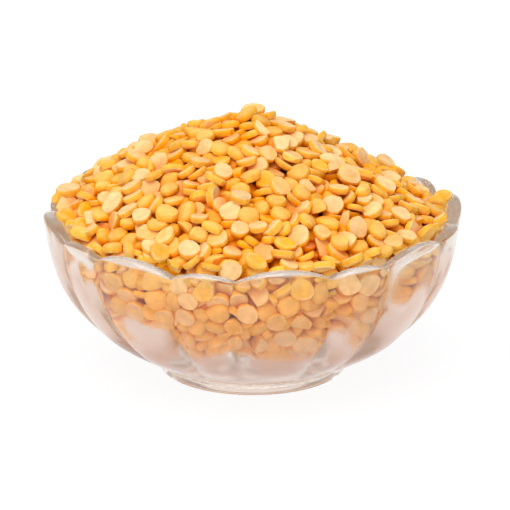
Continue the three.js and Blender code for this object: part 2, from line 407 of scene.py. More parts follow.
# Painted shade up to which a lentil's colour deepens, and its saturation before and then; the deeper colour
# stands for the shade in the gaps
DEEPENING_SHADE = (0, 0.35)
DEEPENING = (1.0, 1.08)
CORE_LIGHTNESS = 2.0  # how much lighter the core's light blotches are than its dark ones
FLOOR_SHADES = ((0.07, 0.07, 0.07), (0.08, 0.08, 0.08))  # the floor's two greys
WHITE = (1, 1, 1, 1)


def new_material(name):
    """A material with its nodes and its shader."""
    material = bpy.data.materials.new(name)
    material.use_nodes = True
    nodes = material.node_tree.nodes
    return material, nodes, nodes["Principled BSDF"]


def link(output, socket):
    """Links an output to an input of the same material."""
    output.id_data.links.new(output, socket)


def set_inputs(node, values):
    """Sets the values of a node's own inputs."""
    for name, value in values.items():
        node.inputs[name].default_value = value


def attribute(nodes, name, output="Fac"):
    """What a piece's mesh holds under a name."""
    node = nodes.new("ShaderNodeAttribute")
    node.attribute_name = name
    return node.outputs[output]


def object_place(nodes):
    """The place on the piece."""
    return nodes.new("ShaderNodeTexCoord").outputs["Object"]


def noise(nodes, place, scale, detail=2):
    """Noise on a place. Its scale is about how many waves there are to a metre."""
    node = nodes.new("ShaderNodeTexNoise")
    set_inputs(node, {"Scale": scale, "Detail": detail})
    link(place, node.inputs["Vector"])
    return node.outputs["Fac"]


def mapped(nodes, value, source, target):
    """A value carried from one range over to another."""
    node = nodes.new("ShaderNodeMapRange")
    ends = ("From Min", "From Max", "To Min", "To Max")
    set_inputs(node, dict(zip(ends, (*source, *target))))
    link(value, node.inputs["Value"])
    return node.outputs["Result"]


def mixed(nodes, factor, *colours):
    """A colour between two, each of which is a node's output or plain red, green and blue."""
    node = nodes.new("ShaderNodeMix")
    node.data_type = "RGBA"
    link(factor, node.inputs["Factor"])
    for socket, shade in zip((node.inputs["A"], node.inputs["B"]), colours):
        if isinstance(shade, bpy.types.NodeSocket):
            link(shade, socket)
        else:
            socket.default_value = (*shade, 1)
    return node.outputs["Result"]


def roughen(nodes, shader, height, strength, distance):
    """Makes the surface look raised by a height."""
    bump = nodes.new("ShaderNodeBump")
    set_inputs(bump, {"Strength": strength, "Distance": distance})
    link(height, bump.inputs["Height"])
    link(bump.outputs["Normal"], shader.inputs["Normal"])


def tint_by_height(nodes, rise, stops):
    """The glass's tint at each height; outside it darkens towards the base, partly the glass's warm tint and
    partly painted shade.
    """
    settings = dish().bowl
    node = nodes.new("ShaderNodeValToRGB")
    ramp = node.color_ramp.elements
    while len(ramp) < len(stops):
        ramp.new(0.5)
    for element, (height, tint) in zip(ramp, stops):
        element.position = height / TINT_TOP
        element.color = (*getattr(settings, tint), 1)
    link(rise, node.inputs["Fac"])
    return node.outputs["Color"]


def glass_material():
    """Clear pressed glass, with the faint waves that the mould leaves, and a tint by height whose darkening
    towards the base is partly painted shade.
    """
    settings = dish().bowl
    material, nodes, shader = new_material("pressed_glass")
    set_inputs(shader, {"Roughness": 0.09, "IOR": 1.5, "Transmission Weight": 1.0})
    place = object_place(nodes)
    split = nodes.new("ShaderNodeSeparateXYZ")
    link(place, split.inputs["Vector"])
    rise = mapped(nodes, split.outputs["Z"], (0, TINT_TOP), (0, 1))
    inside = tint_by_height(nodes, rise, INNER_TINTS)
    outside = tint_by_height(nodes, rise, OUTER_TINTS)
    tinted = mixed(nodes, attribute(nodes, "outward"), inside, outside)
    link(tinted, shader.inputs["Base Color"])
    waves = noise(nodes, place, scale=90, detail=1)
    roughen(nodes, shader, waves, strength=0.06, distance=0.4 * MM)
    body = nodes.new("ShaderNodeVolumeAbsorption")
    set_inputs(body, {"Color": (*settings.tint, 1), "Density": settings.tint_density})
    link(body.outputs["Volume"], nodes["Material Output"].inputs["Volume"])
    return material


def lentil_material():
    """Dry split chickpea: a pale, faintly grainy flat face and a golden back, each lentil its own tone, with
    painted shade that darkens and deepens it the deeper it lies under the heap's surface or behind the glass.
    """
    settings = dish().lentils
    material, nodes, shader = new_material("split_lentil")
    shade = attribute(nodes, "shade")
    place = attribute(nodes, "on_lentil", "Vector")
    sides = mixed(nodes, attribute(nodes, "flat_side"), settings.side_colour, settings.flat_colour)
    mottle = noise(nodes, place, scale=420, detail=3)
    change = nodes.new("ShaderNodeMath")
    change.operation = "MULTIPLY"
    link(mapped(nodes, mottle, MOTTLE_NOISE, MOTTLE_TONES), change.inputs[0])
    link(attribute(nodes, "tone"), change.inputs[1])
    toned = nodes.new("ShaderNodeHueSaturation")
    link(sides, toned.inputs["Color"])
    link(change.outputs["Value"], toned.inputs["Value"])
    link(mapped(nodes, shade, DEEPENING_SHADE, DEEPENING), toned.inputs["Saturation"])
    # Painted shade: deep-lying points are mixed towards the painted shade colour
    shaded = mixed(nodes, shade, toned.outputs["Color"], settings.painted_shade_colour)
    link(shaded, shader.inputs["Base Color"])
    grain = noise(nodes, place, scale=620, detail=4)
    roughen(nodes, shader, grain, strength=0.6, distance=0.26 * MM)
    set_inputs(shader, {"Roughness": 0.55, "Specular IOR Level": 0.08, "Subsurface Weight": 0.2})
    set_inputs(shader, {"Subsurface Radius": (1.0, 0.45, 0.12), "Subsurface Scale": 1.5 * MM})
    return material


def core_material():
    """Painted shade: a dark body that shows deep between the lentils, standing in for the shade there."""
    dark = dish().lentils.core_painted_shade
    material, nodes, shader = new_material("heap_shade")
    blotches = noise(nodes, object_place(nodes), scale=160)
    light = [channel * CORE_LIGHTNESS for channel in dark]
    link(mixed(nodes, blotches, dark, light), shader.inputs["Base Color"])
    set_inputs(shader, {"Roughness": 0.9})
    return material


def floor_material():
    """Plain pale matt surface, which glows a little so that it stays pale under the dish."""
    material, nodes, shader = new_material("pale_floor")
    clouds = noise(nodes, object_place(nodes), scale=3)
    link(mixed(nodes, clouds, *FLOOR_SHADES), shader.inputs["Base Color"])
    set_inputs(shader, {"Roughness": 0.9, "Emission Color": WHITE, "Emission Strength": 0.92})
    return material


# ---- The heap -----------------------------------------------------------------------------

HEAP_FOOT_HEIGHT = 48.4 * MM  # height and radius at which the heap's slope would run out
HEAP_FOOT_RADIUS = 60.8 * MM
HEAP_DOME = (1.08, 0.72)  # powers of the dome's curve
HEAP_LEAN = 1.5 * MM  # how much the heap's shoulder is higher on the left and lower on the right
LEAN_SCALE = 2.6  # brings the lean to that height where it is greatest
# Swells and hollows of the heap in millimetres: where (across, back), how high and how wide
HEAP_SWELLS = [
    (-3, 8, 1.6, 9),
    (30, 7, -6.2, 8),
    (50, 6, -4.6, 7),
    (-32, 5, 1.6, 8),
    (-14, -30, 1.0, 9),
    (-58, 2, 4.2, 6),
    (58, 3, 4.2, 4),
    (44, 22, -3.7, 10),
    (17, 4, 1.3, 5),
    (14, -22, -1.0, 8),
    (34, -26, 0.9, 9),
    (-38, -18, 0.5, 8),
    (6, 34, 1.0, 10),
    (-28, 34, -0.9, 9),
]
# Distance over which slopes are measured, and the steepest that count on the heap and on the glass
PROBE = 0.05 * MM
STEEPEST_HEAP = 1.5
STEEPEST_GLASS = 6
NEARLY_UPRIGHT = 0.9  # upward part of a direction from which it counts as upright


def heap_height(x, y):
    """Height of the heap's free surface."""
    top = dish().lentils.heap_top
    out = np.minimum(np.hypot(x, y) / HEAP_FOOT_RADIUS, 1)
    dome = np.maximum(1 - out ** HEAP_DOME[0], 0) ** HEAP_DOME[1]
    lean = (-x / HEAP_FOOT_RADIUS) * (1 - out * out) * LEAN_SCALE * HEAP_LEAN
    swells = np.zeros_like(out)
    for across, back, high, wide in HEAP_SWELLS:
        near = ((x - across * MM) ** 2 + (y - back * MM) ** 2) / (wide * MM) ** 2
        swells += high * MM * np.exp(-near)
    return HEAP_FOOT_HEIGHT + (top - HEAP_FOOT_HEIGHT) * dome + lean + swells


def unit(vectors):
    """Vectors brought to a length of one."""
    return vectors / np.maximum(np.linalg.norm(vectors, axis=-1, keepdims=True), TINY)


def depths(points):
    """How deep points lie below the heap's free surface and behind the glass, with the outward normals."""
    floor_height = dish().bowl.floor_height
    x, y, z = points[..., 0], points[..., 1], points[..., 2]
    height = heap_height(x, y)
    slope_x = np.clip((heap_height(x + PROBE, y) - height) / PROBE, -STEEPEST_HEAP, STEEPEST_HEAP)
    slope_y = np.clip((heap_height(x, y + PROBE) - height) / PROBE, -STEEPEST_HEAP, STEEPEST_HEAP)
    free_normal = unit(np.stack([-slope_x, -slope_y, np.ones_like(slope_x)], -1))
    below = (height - z) * free_normal[..., 2]
    out = np.maximum(np.hypot(x, y), SPECK)
    wall = glass_radius(x, y, z)
    flare = np.clip((glass_radius(x, y, z + PROBE) - wall) / PROBE, 0, STEEPEST_GLASS)
    wall_normal = unit(np.stack([x / out, y / out, -flare], -1))
    behind = (wall - out) / np.sqrt(1 + flare**2)
    on_floor = z - floor_height < behind
    behind = np.where(on_floor, z - floor_height, behind)
    wall_normal = np.where(on_floor[..., None], np.array([0, 0, -1.0]), wall_normal)
    return below, free_normal, behind, wall_normal


def turns(vectors):
    """Rotation matrices for rotation vectors."""
    angle = np.maximum(np.linalg.norm(vectors, axis=-1), TINY)[..., None, None]
    x, y, z = np.moveaxis(vectors / angle[..., 0], -1, 0)
    none = np.zeros_like(x)
    cross = np.stack([none, -z, y, z, none, -x, -y, x, none], -1).reshape(*x.shape, 3, 3)
    return np.eye(3) + np.sin(angle) * cross + (1 - np.cos(angle)) * (cross @ cross)


def facing(normals, spins):
    """Rotations that turn +Z to each normal, after a spin about +Z."""
    z = unit(normals)
    helper = np.where(np.abs(z[:, 2:]) < NEARLY_UPRIGHT, np.array([[0, 0, 1.0]]), np.array([[1.0, 0, 0]]))
    x = unit(np.cross(helper, z))
    y = np.cross(z, x)
    spin = turns(spins[:, None] * np.array([[0, 0, 1.0]]))
    return np.stack([x, y, z], -1) @ spin


def limited(vectors, most):
    """Vectors cut to a greatest length."""
    size = np.linalg.norm(vectors, axis=1, keepdims=True)
    return vectors * np.minimum(1, most / np.maximum(size, TINY))


# ---- The settling of the lentils ----------------------------------------------------------

# Scattering: how many places are tried and how far past the heap's box, how far apart they are kept, and
# how far from the layer's top and bottom
SCATTER_TRIES = 300000
SCATTER_PAST_BOX = 4 * MM
SCATTER_SPACING = 3.5 * MM
SCATTER_MARGIN = 1.2 * MM
SIZE_SPREAD = 0.085  # spread and range of the lentils' sizes, as shares of the usual one
SIZE_RANGE = (0.78, 1.18)
FLAT_TO_GLASS = 0.6  # share of the lentils at the glass that lie flat along it
FLAT_OUTWARD = 0.62  # share of the lentils that turn their flat face outwards
TILT = np.radians(22)  # how unevenly they lie
# Share of the lentils that stand proud, and how deep those and the others sink, in millimetres
PROUD_SHARE = 0.22
PROUD_DEPTH = (-1.6, 0.2)
SUNK_DEPTH = (0.2, 1.9)
# Balls that stand in for a lentil: the middle one as a share of its thickness, the ring of its radius
MIDDLE_BALL = 0.48
RING_BALLS = 6
RING_BALL = 0.343
RING_RADIUS = 0.642
INERTIA = (0.18, 0.05, 0.3)  # across, from its radius and thickness, and about its axis, from its radius
# How much of its pushes a grain follows, less with their number, and how far it goes and turns at most
CALM = 1.3
CALM_POWER = 0.75
MOST_MOVE = 0.6 * MM
MOST_TURN = 0.25
# Pulls on a grain: down, into the heap and onto the glass, and the shares that it rights itself and sinks
DOWNWARD = 0.5
INTO_HEAP = 0.5
ONTO_GLASS = 0.6
RIGHTING = 0.04
SINKING = 0.3
# Rounds of settling, how often near pairs are sought, and how near they are
ROUNDS = 160
PAIRING_ROUNDS = 6
REACH = 7.4 * MM
# How far a pull of one moves a grain in the first round, and how late it begins to fade faster
FULL_PULL = 0.1 * MM
LATE_FADE = 1.2


def scattered(random, count, layer):
    """Places in the layer under the heap's surface and behind the glass, no two too close to each other."""
    low = np.array([HEAP_BOX[0].x, HEAP_BOX[0].y, 0]) - SCATTER_PAST_BOX
    high = np.array(HEAP_BOX[1]) + SCATTER_PAST_BOX
    tries = random.uniform(low, high, (SCATTER_TRIES, 3))
    below, _, behind, _ = depths(tries)
    deep = np.minimum(below, behind)
    tries = tries[(deep > SCATTER_MARGIN) & (deep < layer - SCATTER_MARGIN)]
    cells, places = {}, []
    around = [(i, j, k) for i in (-1, 0, 1) for j in (-1, 0, 1) for k in (-1, 0, 1)]
    for point in tries:
        cell = tuple((point // SCATTER_SPACING).astype(int))
        near = [q for i, j, k in around for q in cells.get((cell[0] + i, cell[1] + j, cell[2] + k), ())]
        if all(((point - q) ** 2).sum() >= SCATTER_SPACING**2 for q in near):
            cells.setdefault(cell, []).append(point)
            places.append(point)
        if len(places) == count:
            break
    return np.array(places)


class Grains:
    """Loose lentils as rigid bodies: each is a middle ball and a ring of balls, flat on one side."""

    def __init__(self, places, resting, flips, spins, sunk, sizes, radius, thickness):
        self.places, self.sunk, self.sizes = places, sunk, sizes
        self.resting, self.flips = resting, flips
        self.rotations = facing(resting * flips, spins)
        self.count = len(places)
        ring_ball = RING_BALL * radius
        ring = RING_RADIUS * radius
        angles = np.arange(RING_BALLS) * 2 * math.pi / RING_BALLS
        ring_z = np.full(RING_BALLS, thickness / 2 - ring_ball)
        around = np.stack([ring * np.cos(angles), ring * np.sin(angles), ring_z], -1)
        self.balls = np.concatenate([np.zeros((1, 3)), around])
        radii = np.array([MIDDLE_BALL * thickness] + [ring_ball] * RING_BALLS)
        self.ball_radii = radii[None] * sizes[:, None]
        self.mass = sizes**3
        across = INERTIA[0] * radius**2 + INERTIA[1] * thickness**2
        self.inertia = np.array([across, across, INERTIA[2] * radius**2])

    def offsets(self):
        """Where each grain's balls lie from its middle."""
        return np.einsum("nij,kj->nki", self.rotations, self.balls) * self.sizes[:, None, None]

    def give(self, grains, arms, directions):
        """How easily each grain moves at the end of its arm, and how it turns."""
        moment = np.cross(arms, directions)
        local = np.einsum("nji,nj->ni", self.rotations[grains], moment) / self.inertia
        turn = np.einsum("nij,nj->ni", self.rotations[grains], local)
        turn /= (self.mass[grains] * self.sizes[grains] ** 2)[:, None]
        return 1 / self.mass[grains] + (moment * turn).sum(1), turn

    def relax(self, pairs, layer):
        """One round: every overlap pushes its grains apart, and glass and core push theirs back."""
        offsets = self.offsets()
        balls = self.places[:, None] + offsets
        moves, spins, touches = np.zeros((self.count, 3)), np.zeros((self.count, 3)), np.zeros(self.count)

        def push(grains, directions, amounts, turn):
            for axis in range(3):
                weights = amounts / self.mass[grains] * directions[:, axis]
                moves[:, axis] += np.bincount(grains, weights, self.count)
                spins[:, axis] += np.bincount(grains, amounts * turn[:, axis], self.count)
            touches[:] += np.bincount(grains, minlength=self.count)

        first, second = pairs
        apart = balls[first][:, :, None] - balls[second][:, None]
        distance = np.sqrt((apart**2).sum(-1))
        overlap = self.ball_radii[first][:, :, None] + self.ball_radii[second][:, None] - distance
        pair, a, b = np.nonzero(overlap > 0)
        directions = apart[pair, a, b] / np.maximum(distance[pair, a, b], SPECK)[:, None]
        one, other = first[pair], second[pair]
        arm_one = offsets[one, a] - directions * self.ball_radii[one, a][:, None]
        arm_other = offsets[other, b] + directions * self.ball_radii[other, b][:, None]
        give_one, turn_one = self.give(one, arm_one, directions)
        give_other, turn_other = self.give(other, arm_other, directions)
        amounts = overlap[pair, a, b] / (give_one + give_other)
        push(one, directions, amounts, turn_one)
        push(other, -directions, amounts, -turn_other)

        below, free_normal, behind, wall_normal = depths(balls)
        inmost = np.where((behind < below)[..., None], wall_normal, free_normal)
        into_core = np.minimum(below, behind) + self.ball_radii - layer
        for depth, normal in ((self.ball_radii - behind, -wall_normal), (into_core, inmost)):
            grain, ball = np.nonzero(depth > 0)
            direction = normal[grain, ball]
            arm = offsets[grain, ball] - direction * self.ball_radii[grain, ball][:, None]
            give, turn = self.give(grain, arm, direction)
            push(grain, direction, depth[grain, ball] / give, turn)

        calm = (CALM / np.maximum(touches, 1) ** CALM_POWER)[:, None]
        self.places += limited(moves * calm, MOST_MOVE)
        self.rotations = turns(limited(spins * calm, MOST_TURN)) @ self.rotations

    def pull(self, strength):
        """Gravity: down the heap's slope and onto the glass."""
        below, free_normal, behind, wall_normal = depths(self.places)
        down = np.array([0, 0, -DOWNWARD])
        at_glass = (behind < below)[:, None]
        pull = np.where(at_glass, wall_normal * ONTO_GLASS + down, down - free_normal * INTO_HEAP)
        self.places += pull * strength
        off = np.cross(self.rotations[:, :, 2] * self.flips, self.resting)
        self.rotations = turns(off * RIGHTING) @ self.rotations
        self.places -= free_normal * (np.maximum(self.sunk - below, 0) * SINKING)[:, None]


def settled_grains():
    """Scatters the lentils through the layer and lets them settle on each other, the core and the glass."""
    settings = dish().lentils
    random = np.random.default_rng(settings.seed)
    places = scattered(random, settings.count, settings.layer)
    count = len(places)
    sizes = np.clip(random.normal(1, SIZE_SPREAD, count), *SIZE_RANGE)
    below, free_normal, behind, wall_normal = depths(places)
    under_rim = places[:, 2] < dish().bowl.notch_height
    at_glass = ((behind < below) & under_rim)[:, None]
    up = np.array([0, 0, 1.0])
    against_glass = np.where(random.random((count, 1)) < FLAT_TO_GLASS, wall_normal, up)
    resting = np.where(at_glass, against_glass, unit(free_normal + up))
    lean = random.normal(0, 1, (count, 3)) * TILT
    flips = np.where(random.random(count) < FLAT_OUTWARD, 1, -1)[:, None]
    spins = random.uniform(0, 2 * math.pi, count)
    resting = (turns(lean) @ resting[:, :, None])[:, :, 0]
    proud = random.random(count) < PROUD_SHARE
    sunk = np.where(proud, random.uniform(*PROUD_DEPTH, count), random.uniform(*SUNK_DEPTH, count)) * MM
    grains = Grains(places, resting, flips, spins, sunk, sizes, settings.radius, settings.thickness)
    rounds = ROUNDS
    for round_ in range(rounds):
        if round_ % PAIRING_ROUNDS == 0:
            squares = (grains.places**2).sum(1)
            between = squares[:, None] + squares - 2 * grains.places @ grains.places.T
            pairs = np.nonzero(np.triu(between < REACH**2, 1))
        grains.relax(pairs, settings.layer)
        fade = 1 - round_ / rounds
        grains.pull(FULL_PULL * fade * min(1, LATE_FADE * fade))
    return grains, random


# ---- Lentil shapes ------------------------------------------------------------------------

LENTIL_SIDES = 12
FLAT_SHARE = 0.93  # radius of the flat face, as a share of the lentil's
# Radius and depth of a lentil's rings below its flat face, as shares of its radius and thickness
LENTIL_RINGS = [(1.0, 0.14), (1.0, 0.46), (0.90, 0.76), (0.60, 0.94)]
BACK_TIP = 0.06  # how far the back's tip stands out past the last ring, as a share of the thickness
FLAT_INSET = 0.2  # width of the flat face's border, as a share of the radius
FLAT_SINK = 0.008  # how far the flat face sinks within it, as a share of the thickness
LOOKS_UP = 0.99  # upward part of a face's normal from which it counts as looking up
SAME_HEIGHT = 1e-6  # difference in metres up to which heights count as the same
CHIP_DEPTH = 0.4  # depth at which a chip is placed, as a share of the thickness
LOBES = (0.035, 0.030, 0.022)  # how far a lentil's outline strays in two, three and four lobes
BEAK_WIDTH = 0.5  # half a beak's width as a share of the radius, and how sharply it comes forward
BEAK_POWER = 4
# Whole lentils: thickness as a share of the usual one, stretch, beak, unevenness and seed
WHOLE_LENTILS = [
    (1.0, 1.0, 0.0, 0.03, 1),
    (0.92, 1.06, 0.10, 0.03, 2),
    (1.10, 0.96, 0.14, 0.03, 3),
    (0.84, 1.10, 0.0, 0.03, 4),
    (1.02, 1.03, 0.06, 0.04, 5),
    (0.95, 0.93, 0.0, 0.035, 10),
    (0.88, 1.02, 0.08, 0.03, 11),
    (1.05, 0.97, 0.0, 0.03, 12),
]
# Chipped lentils: the same, and the chip's distance as a share of the radius, direction and slant
CHIPPED_LENTILS = [
    (1.0, 1.0, 0.0, 0.03, 6, (0.55, 0.4, 0.3)),
    (1.0, 1.0, 0.0, 0.03, 7, (0.25, 2.0, -0.5)),
    (0.9, 1.0, 0.0, 0.03, 8, (0.7, 4.0, 0.8)),
    (1.0, 1.0, 0.0, 0.03, 9, (-0.05, 5.0, 0.15)),
    (1.05, 1.0, 0.1, 0.03, 13, (0.62, 3.1, -0.2)),
    (0.85, 1.0, 0.0, 0.03, 14, (0.35, 1.1, 0.9)),
]
CHIPPED_SHARE = 0.18  # share of the lentils that are chipped
TONE_SPREAD = 0.05  # spread and range of the lentils' brightness
TONE_RANGE = (0.86, 1.08)
# Painted shade: from these depths under the heap's surface or behind the glass, the lentils are darkened
# towards the painted shade colour
SHADE_DEPTHS = (0.9 * MM, 6.5 * MM)  # depths at which the lentils begin to darken, and are darkest
GLASS_SHADE = 1.35  # how much faster they darken behind the glass
BACK_PALENESS = 0.34  # how far the back's colour lies from the side's towards the flat face's
# Heights over a lentil's middle between which the flat face's colour and the back's come, as shares of
# its thickness
FLAT_COLOUR_FROM = (0.40, 0.455)
BACK_COLOUR_FROM = (0.1, -0.4)
PATTERN_STEP = 7  # parts the lentils' patterns, so that no two neighbours share one


def model_lentil(radius, thickness, stretch, beak, unevenness, seed, chip=None):
    """Models one split chickpea and hands back its points and faces. The flat face looks up."""
    deselect()
    flat_radius = radius * FLAT_SHARE
    bpy.ops.mesh.primitive_circle_add(vertices=LENTIL_SIDES, radius=flat_radius, fill_type="NGON")
    piece = edit_new("lentil")
    bpy.ops.mesh.select_mode(type="FACE")
    extrude_rings([(r * radius, -d * thickness) for r, d in LENTIL_RINGS], (flat_radius, 0.0))
    bpy.ops.mesh.extrude_region_move(TRANSFORM_OT_translate={"value": (0, 0, -BACK_TIP * thickness)})
    bpy.ops.mesh.merge(type="CENTER")
    turn_outwards()
    for face in piece.data.polygons:
        face.select = face.normal.z > LOOKS_UP and abs(face.center.z) < SAME_HEIGHT
    bpy.ops.object.mode_set(mode="EDIT")
    bpy.ops.mesh.inset(thickness=FLAT_INSET * radius, depth=-FLAT_SINK * thickness)
    bpy.ops.mesh.select_all(action="SELECT")
    bpy.ops.transform.resize(value=(stretch, 1 / stretch, 1), center_override=(0, 0, 0))
    bpy.ops.transform.vertex_random(offset=unevenness * radius, seed=seed)
    if chip:
        distance, angle, slant = chip
        normal = (math.cos(angle) * math.cos(slant), math.sin(angle) * math.cos(slant), math.sin(slant))
        across, back = math.cos(angle) * distance * radius, math.sin(angle) * distance * radius
        place = (across, back, -CHIP_DEPTH * thickness)
        bpy.ops.mesh.bisect(plane_co=place, plane_no=normal, use_fill=True, clear_outer=True)
    turn_outwards()
    points = uneven(coordinates(piece.data), radius, beak, seed)
    points[:, 2] += thickness / 2
    starts = np.array([face.loop_start for face in piece.data.polygons])
    totals = np.array([face.loop_total for face in piece.data.polygons])
    corners = np.array([loop.vertex_index for loop in piece.data.loops])
    bpy.data.meshes.remove(piece.data)
    return points, corners, starts, totals


def uneven(points, radius, beak, seed):
    """A lentil's points with its outline in uneven lobes, and with a beak if it has one."""
    angle = np.arctan2(points[:, 1], points[:, 0])
    waves = np.random.default_rng(seed).normal(0, LOBES, (2, len(LOBES)))
    lobes = [w * np.cos((k + 2) * angle) + v * np.sin((k + 2) * angle) for k, (w, v) in enumerate(waves.T)]
    points[:, :2] *= (1 + sum(lobes))[:, None]
    if beak:
        ahead = np.maximum(points[:, 0] / radius, 0) ** BEAK_POWER
        sideways = 1 - np.minimum(np.abs(points[:, 1]) / (BEAK_WIDTH * radius), 1)
        points[:, 0] += beak * radius * ahead * sideways
    return points


def paleness(heights, thickness):
    """How much of the flat face's colour a lentil's points have, by their height over its middle."""
    back = BACK_PALENESS * smoothstep(-heights, *(-share * thickness for share in BACK_COLOUR_FROM))
    return np.maximum(smoothstep(heights, *(share * thickness for share in FLAT_COLOUR_FROM)), back)


def joined(name, shapes, kinds, places, rotations, sizes, tones, thickness):
    """One mesh of many lentils: each place gets its shape, turned and sized, and its own tone."""
    points, corners, starts, totals = [], [], [], []
    values = {"tone": [], "flat_side": [], "shade": [], "on_lentil": []}
    points_so_far = corners_so_far = 0
    for index, kind in enumerate(kinds):
        shape, shape_corners, shape_starts, shape_totals = shapes[kind]
        sized = shape * sizes[index]
        placed = sized @ rotations[index].T + places[index]
        points.append(placed)
        corners.append(shape_corners + points_so_far)
        starts.append(shape_starts + corners_so_far)
        totals.append(shape_totals)
        below, _, behind, _ = depths(placed)
        values["tone"].append(np.full(len(shape), tones[index]))
        values["flat_side"].append(paleness(shape[:, 2], thickness))
        # Painted shade: how far each point is darkened, by its depth under the heap's surface or behind the
        # glass
        values["shade"].append(smoothstep(np.minimum(below, behind * GLASS_SHADE), *SHADE_DEPTHS))
        values["on_lentil"].append(sized + places[index] * PATTERN_STEP)
        points_so_far += len(shape)
        corners_so_far += len(shape_corners)
    mesh = bpy.data.meshes.new(name)
    mesh.vertices.add(points_so_far)
    mesh.vertices.foreach_set("co", np.concatenate(points).astype(np.float32).ravel())
    mesh.loops.add(corners_so_far)
    mesh.loops.foreach_set("vertex_index", np.concatenate(corners).astype(np.int32))
    starts = np.concatenate(starts).astype(np.int32)
    mesh.polygons.add(len(starts))
    mesh.polygons.foreach_set("loop_start", starts)
    mesh.polygons.foreach_set("loop_total", np.concatenate(totals).astype(np.int32))
    mesh.polygons.foreach_set("use_smooth", np.ones(len(starts), bool))
    mesh.update(calc_edges=True)
    for title, parts in values.items():
        table = np.concatenate(parts).astype(np.float32)
        held, field = ("FLOAT", "value") if table.ndim == 1 else ("FLOAT_VECTOR", "vector")
        mesh.attributes.new(title, held, "POINT").data.foreach_set(field, table.ravel())
    return add_object(name, mesh)


# ---- Operators ----------------------------------------------------------------------------

BOWL_SEGMENTS = 360
BOWL_SMOOTHING = math.radians(40)  # angles over which an edge stays sharp
LENTIL_SMOOTHING = math.radians(38)
LIFT_PASSES = 6  # passes that find how far the mould lifts a point
THINNEST_WALL = 1e-6  # least thickness in metres that something is divided by
UNDER_FLOOR = 0.1 * MM  # how far below the floor's surface the base's glass counts as outside
CORE_START = 20 * MM  # radius of the ball that the core starts from
CORE_MIDDLE = 44 * MM  # height of its middle
CORE_REACH = 70 * MM  # how far from there its surface is sought, and in how many steps
CORE_STEPS = 24
GLASS_GAP = 0.12 * MM  # what is kept between the lentils and the glass, and in how many passes
GAP_PASSES = 5
FLOOR_SIZE = 6
LIGHT_SIZE = 1.2
SOFTBOX_PLACE = (-0.18, -0.4, 1.33)
WINDOW_PLACE = (-0.25, -1.4, 0.45)
GLASS_BOUNCES = 64
SENSOR_WIDTH = 36  # in millimetres
AIM_ACROSS = 0.6 * MM  # where the camera looks
AIM_HEIGHT = 35 * MM


class LENTILDISH_OT_bowl(bpy.types.Operator):
    """Models the pressed-glass bowl with its foot, petals and scalloped rim"""

    bl_idname = "lentil_dish.bowl"
    bl_label = "Glass bowl"

    def execute(self, context):
        profile = bowl_profile()
        first_radius, first_height = profile[0]
        deselect()
        bpy.ops.mesh.primitive_circle_add(
            vertices=BOWL_SEGMENTS,
            radius=first_radius,
            fill_type="NOTHING",
            location=(0, 0, first_height),
            rotation=(0, 0, FIRST_NOTCH),
        )
        bpy.ops.object.transform_apply(location=True, rotation=True, scale=True)
        piece = edit_new("glass_bowl")
        bpy.ops.mesh.select_mode(type="EDGE")
        bpy.ops.mesh.select_all(action="SELECT")
        extrude_rings(profile[1:], profile[0])
        close_ends()
        turn_outwards()
        self.press_petals(piece.data)
        bpy.ops.object.shade_smooth_by_angle(angle=BOWL_SMOOTHING)
        piece.data.materials.append(glass_material())
        piece.visible_shadow = False  # light falls through the glass onto the lentils
        settle_piece(piece, "dish")
        return {"FINISHED"}

    def press_petals(self, mesh):
        """Moves the wall out and up over each petal, as the mould does, and notes which side is outside."""
        x, y, z = coordinates(mesh).T
        radius = np.maximum(np.hypot(x, y), SPECK)
        lifted = z
        for _ in range(LIFT_PASSES):
            lifted = z + lift(x, y, lifted)
        inside, outside = inner_radius(z), outer_radius(z)
        across_wall = np.clip((radius - inside) / np.maximum(outside - inside, THINNEST_WALL), 0, 1)
        grown = (inside_radius(x, y, lifted) - inside) * (1 - across_wall)
        grown += (outside_radius(x, y, lifted) - outside) * across_wall
        scale = (radius + grown) / radius
        set_coordinates(mesh, np.stack([x * scale, y * scale, lifted], -1))
        in_base = z < dish().bowl.floor_height - UNDER_FLOOR
        outward = mesh.attributes.new("outward", "FLOAT", "POINT")
        outward.data.foreach_set("value", np.where(in_base, 1, across_wall).astype(np.float32))


class LENTILDISH_OT_core(bpy.types.Operator):
    """Models the dark core under the loose lentils, painted as the shade deep in the heap"""

    bl_idname = "lentil_dish.core"
    bl_label = "Heap core"

    def execute(self, context):
        layer = context.scene.lentil_dish.lentils.layer
        deselect()
        bpy.ops.mesh.primitive_ico_sphere_add(subdivisions=5, radius=CORE_START, location=(0, 0, 0))
        piece = bpy.context.object
        piece.name = piece.data.name = "heap_core"
        middle = np.array([0, 0, CORE_MIDDLE])
        directions = unit(coordinates(piece.data))
        near, far = np.zeros(len(directions)), np.full(len(directions), CORE_REACH)
        for _ in range(CORE_STEPS):
            half = (near + far) / 2
            below, _, behind, _ = depths(middle + directions * half[:, None])
            inside = np.minimum(below, behind) > layer
            near, far = np.where(inside, half, near), np.where(inside, far, half)
        set_coordinates(piece.data, middle + directions * near[:, None])
        bpy.ops.object.shade_smooth()
        piece.data.materials.append(core_material())
        settle_piece(piece, "lentils")
        return {"FINISHED"}


